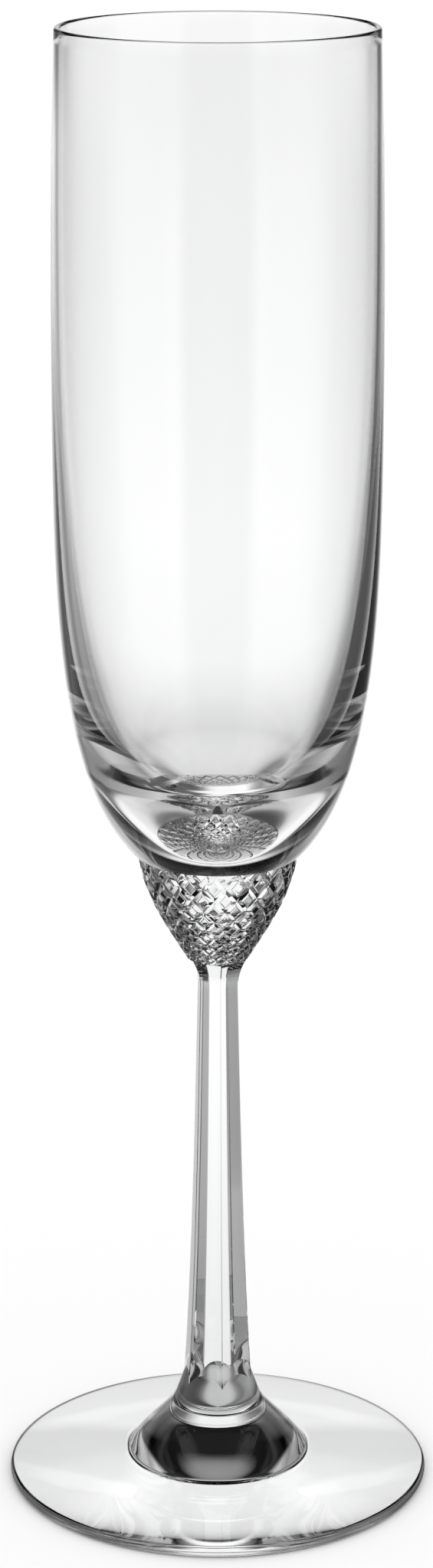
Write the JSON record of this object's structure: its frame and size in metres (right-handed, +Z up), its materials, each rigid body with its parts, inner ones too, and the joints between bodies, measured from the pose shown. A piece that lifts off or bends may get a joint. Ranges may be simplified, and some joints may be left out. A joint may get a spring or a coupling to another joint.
{
  "type": "champagne flute",
  "caption": "Tall tulip-shaped crystal flute with a solid-bottomed bowl, a diamond-cut knop, a faceted stem and a flared round foot.",
  "frame": {"origin": "centre of the foot, on the surface that it rests on", "axes": "+Z up along the glass's axis, from the foot to the rim; an arris of the stem lies 7.5 degrees from -Y, towards +X"},
  "size_m": [0.0698, 0.0698, 0.24],
  "materials": {
    "bowl_crystal": "blown and fire-polished, clear",
    "knop_crystal": "wheel-cut diamonds, acid-polished",
    "stem_crystal": "wheel-cut flats, polished",
    "foot_crystal": "fire-polished, clear, ground where it rests"
  },
  "bodies": {
    "root": {"bowl": "bowl_crystal", "knop": "knop_crystal", "stem": "stem_crystal", "foot": "foot_crystal"}
  },
  "joints": []
}
